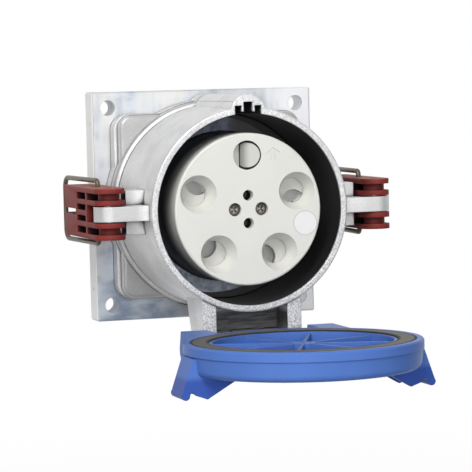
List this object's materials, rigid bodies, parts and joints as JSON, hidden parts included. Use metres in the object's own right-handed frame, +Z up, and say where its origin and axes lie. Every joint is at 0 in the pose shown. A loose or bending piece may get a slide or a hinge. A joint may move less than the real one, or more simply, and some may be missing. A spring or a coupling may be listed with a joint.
{
  "type": "industrial socket",
  "caption": "Panel-mounted round industrial power socket with a keyed cast barrel, shuttered contact insert, hinged lid and a draw latch with wire bail on each side.",
  "frame": {"origin": "centre of the wall bolt pattern on the back face of the mounting plate", "axes": "+Z up, +Y into the wall, the socket faces -Y"},
  "size_m": [0.233, 0.3447, 0.2139],
  "materials": {
    "milled_aluminium": "face-milled, bright edges",
    "cast_aluminium": "blasted casting with machined faces",
    "base_gasket": "matte",
    "black_plastic": "satin",
    "collar": "satin",
    "carrier_plastic": "matte moulded",
    "insert_plastic": "fine matte moulded",
    "contact_plating": "turned and silver-plated",
    "steel": "zinc-plated",
    "sticker": "plain film",
    "lever_plastic": "fine moulded texture",
    "zinc_wire": "yellow zinc",
    "lid_plastic": "satin moulded",
    "lid_gasket": "matte"
  },
  "bodies": {
    "socket": {"mounting_plate": "milled_aluminium", "base_gasket": "base_gasket", "housing": "cast_aluminium", "bore_liner": "black_plastic", "insert_collar": "collar", "terminal_plate": "carrier_plastic", "contact_carrier": "carrier_plastic", "insert_sleeve": "insert_plastic", "insert_face": "insert_plastic", "blanking_plug": "insert_plastic", "contact_1": "contact_plating", "contact_2": "contact_plating", "contact_3": "contact_plating", "contact_4": "contact_plating", "pilot_contacts": "contact_plating", "face_screws": "steel", "carrier_screws": "steel", "terminal_screws": "steel", "housing_bolts": "steel", "sticker": "sticker", "latch_pin_left": "steel", "latch_pin_right": "steel", "hinge_pin": "steel"},
    "shutter": {"shutter": "insert_plastic"},
    "lid": {"lid": "lid_plastic", "lid_gasket": "lid_gasket"},
    "lever_left": {"lever_left": "lever_plastic"},
    "lever_right": {"lever_right": "lever_plastic"},
    "bail_left": {"bail_left": "zinc_wire"},
    "bail_right": {"bail_right": "zinc_wire"}
  },
  "joints": [
    {"name": "lid_hinge", "type": "hinge", "parent": "socket", "child": "lid", "pos_m": [0, -0.1573, -0.1017], "axis": [-1, 0, 0], "range_deg": [0, 90]},
    {"name": "lever_left_pivot", "type": "hinge", "parent": "socket", "child": "lever_left", "pos_m": [-0.1048, -0.125, 0], "axis": [0, 0, 1], "range_deg": [0, 160]},
    {"name": "lever_right_pivot", "type": "hinge", "parent": "socket", "child": "lever_right", "pos_m": [0.1048, -0.125, 0], "axis": [0, 0, -1], "range_deg": [0, 160]},
    {"name": "bail_left_pivot", "type": "hinge", "parent": "lever_left", "child": "bail_left", "pos_m": [-0.1048, -0.0915, 0], "axis": [0, 0, 1], "range_deg": [0, 189.58]},
    {"name": "bail_right_pivot", "type": "hinge", "parent": "lever_right", "child": "bail_right", "pos_m": [0.1048, -0.0915, 0], "axis": [0, 0, -1], "range_deg": [0, 189.58]},
    {"name": "shutter_turn", "type": "hinge", "parent": "socket", "child": "shutter", "pos_m": [0, -0.12, 0], "axis": [0, -1, 0], "range_deg": [0, 13]}
  ]
}
